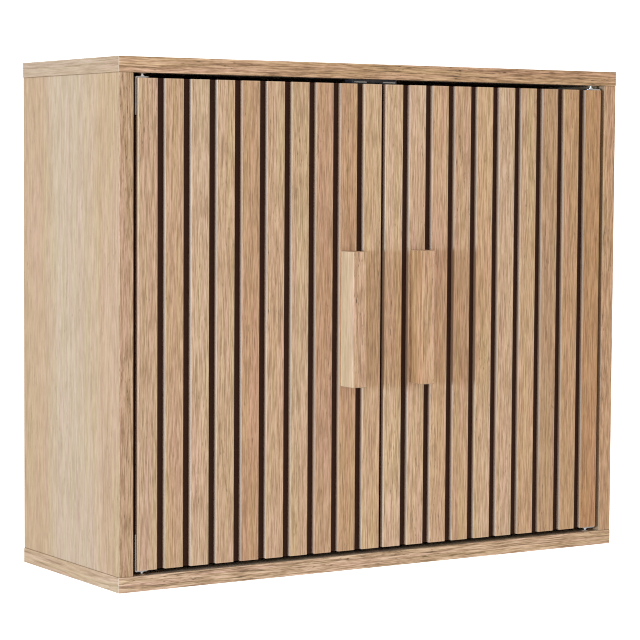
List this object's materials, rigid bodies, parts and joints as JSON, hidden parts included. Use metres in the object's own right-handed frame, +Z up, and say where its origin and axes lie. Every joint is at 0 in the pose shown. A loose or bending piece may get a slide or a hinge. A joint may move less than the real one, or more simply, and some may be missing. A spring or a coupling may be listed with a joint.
{
  "type": "hanging wall cabinet",
  "caption": "Wall-hung wooden cabinet with a pair of slatted inset doors on pin hinges, bar handles, an adjustable shelf and a hanging rail.",
  "frame": {"origin": "on the wall plane, midway between the two wall-screw holes in the hanging rail", "axes": "+Z up, +Y into the wall, +X to the right as one looks at the doors"},
  "size_m": [0.6, 0.232, 0.51],
  "materials": {
    "oak_laminate": "light oak laminate with a fine straight grain, satin",
    "oak_slat": "light oak slats, each with its own tone, satin",
    "oak_handle": "solid light oak, satin",
    "dark_board": "dark brown board, matt",
    "back_board": "thin printed fibreboard",
    "beech": "fluted beech dowels, plain",
    "plated_steel": "zinc plated steel",
    "white_plastic": "white nylon",
    "magnet": "dark ferrite"
  },
  "bodies": {
    "carcass": {"top_board": "oak_laminate", "bottom_board": "oak_laminate", "left_side": "oak_laminate", "right_side": "oak_laminate", "back_panel": "back_board", "hanging_rail": "oak_laminate", "shelf": "oak_laminate", "shelf_pins": "plated_steel", "cam_locks": "plated_steel", "cam_bolts": "plated_steel", "wood_dowels": "beech", "hinge_bushes": "white_plastic", "catch_body": "white_plastic", "catch_magnets": "magnet", "catch_poles": "plated_steel", "catch_screws": "plated_steel"},
    "left_door": {"left_backing": "dark_board", "left_slat_01": "oak_slat", "left_slat_02": "oak_slat", "left_slat_03": "oak_slat", "left_slat_04": "oak_slat", "left_slat_05": "oak_slat", "left_slat_06": "oak_slat", "left_slat_07": "oak_slat", "left_slat_08": "oak_slat", "left_slat_09": "oak_slat", "left_slat_10": "oak_slat", "left_handle": "oak_handle", "left_handle_screws": "plated_steel", "left_hinge_top": "plated_steel", "left_hinge_bottom": "plated_steel", "left_hinge_pins": "plated_steel", "left_hinge_screws": "plated_steel", "left_strike": "plated_steel", "left_strike_screw": "plated_steel"},
    "right_door": {"right_backing": "dark_board", "right_slat_01": "oak_slat", "right_slat_02": "oak_slat", "right_slat_03": "oak_slat", "right_slat_04": "oak_slat", "right_slat_05": "oak_slat", "right_slat_06": "oak_slat", "right_slat_07": "oak_slat", "right_slat_08": "oak_slat", "right_slat_09": "oak_slat", "right_slat_10": "oak_slat", "right_handle": "oak_handle", "right_handle_screws": "plated_steel", "right_hinge_top": "plated_steel", "right_hinge_bottom": "plated_steel", "right_hinge_pins": "plated_steel", "right_hinge_screws": "plated_steel", "right_strike": "plated_steel", "right_strike_screw": "plated_steel"}
  },
  "joints": [
    {"name": "left_door_hinge", "type": "hinge", "parent": "carcass", "child": "left_door", "pos_m": [-0.2715, -0.202, -0.21], "axis": [0, 0, -1], "range_deg": [0, 110]},
    {"name": "right_door_hinge", "type": "hinge", "parent": "carcass", "child": "right_door", "pos_m": [0.2715, -0.202, -0.21], "axis": [0, 0, 1], "range_deg": [0, 110]}
  ]
}
